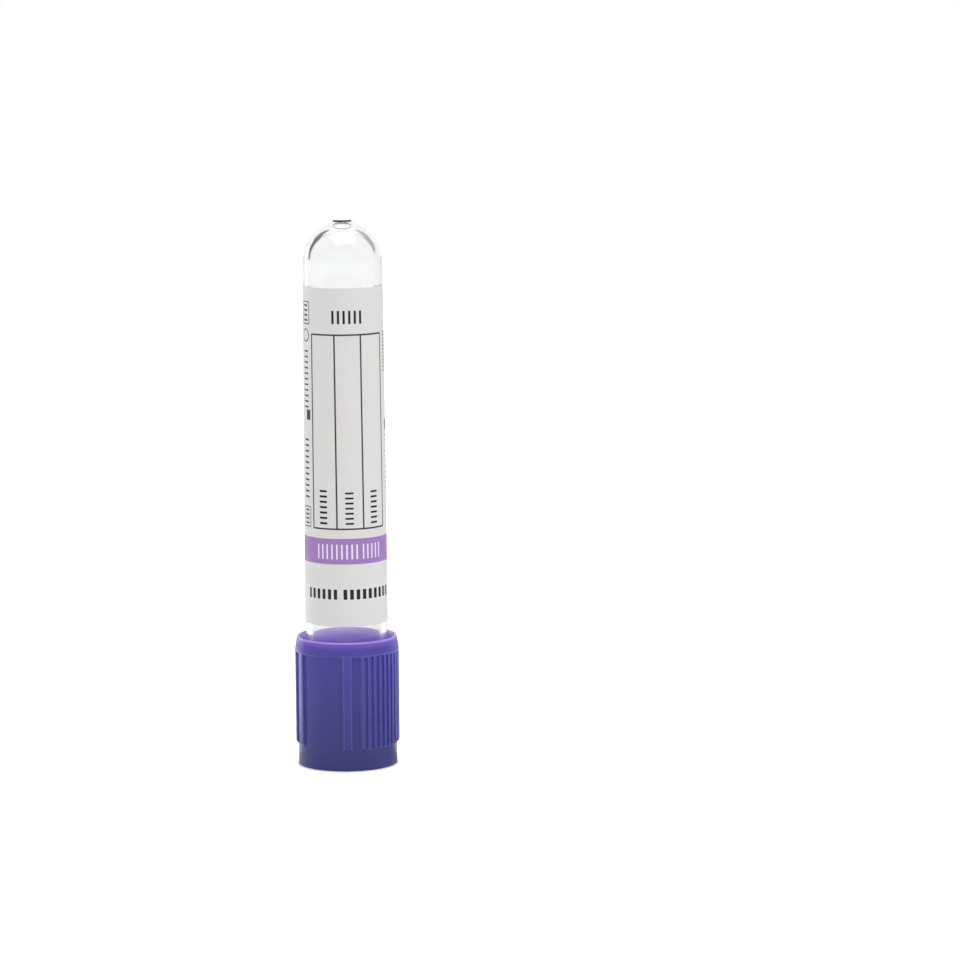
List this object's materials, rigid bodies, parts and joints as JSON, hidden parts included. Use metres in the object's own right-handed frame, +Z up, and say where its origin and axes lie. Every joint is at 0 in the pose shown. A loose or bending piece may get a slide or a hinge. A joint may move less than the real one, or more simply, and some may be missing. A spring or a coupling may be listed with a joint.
{
  "type": "blood collection tube",
  "caption": "Round-bottomed clear plastic tube with a paper label, closed by a rubber stopper inside a ribbed violet cap shell, standing upside down on its cap.",
  "frame": {"origin": "on the tube's axis, at the middle of the needle-end face of the cap shell, which the closed tube stands on", "axes": "+Z up along the tube's axis, from the cap towards the tube's round end; -Y is the front, where the label's form is"},
  "size_m": [0.0164, 0.0164, 0.0862],
  "materials": {
    "violet_shell": "satin",
    "grey_rubber": "matte",
    "clear_tube": "gloss",
    "label_paper": "satin"
  },
  "bodies": {
    "cap": {"cap_shell": "violet_shell"},
    "stopper": {"rubber_stopper": "grey_rubber"},
    "tube": {"tube": "clear_tube", "label": "label_paper"}
  },
  "joints": [
    {"name": "cap_twist", "type": "hinge", "parent": "cap", "child": "stopper", "pos_m": [0, 0, 0.0108], "axis": [0, 0, 1], "continuous": true},
    {"name": "tube_pull", "type": "slide", "parent": "stopper", "child": "tube", "axis": [0, 0, 1], "range_m": [0, 0.015]}
  ]
}
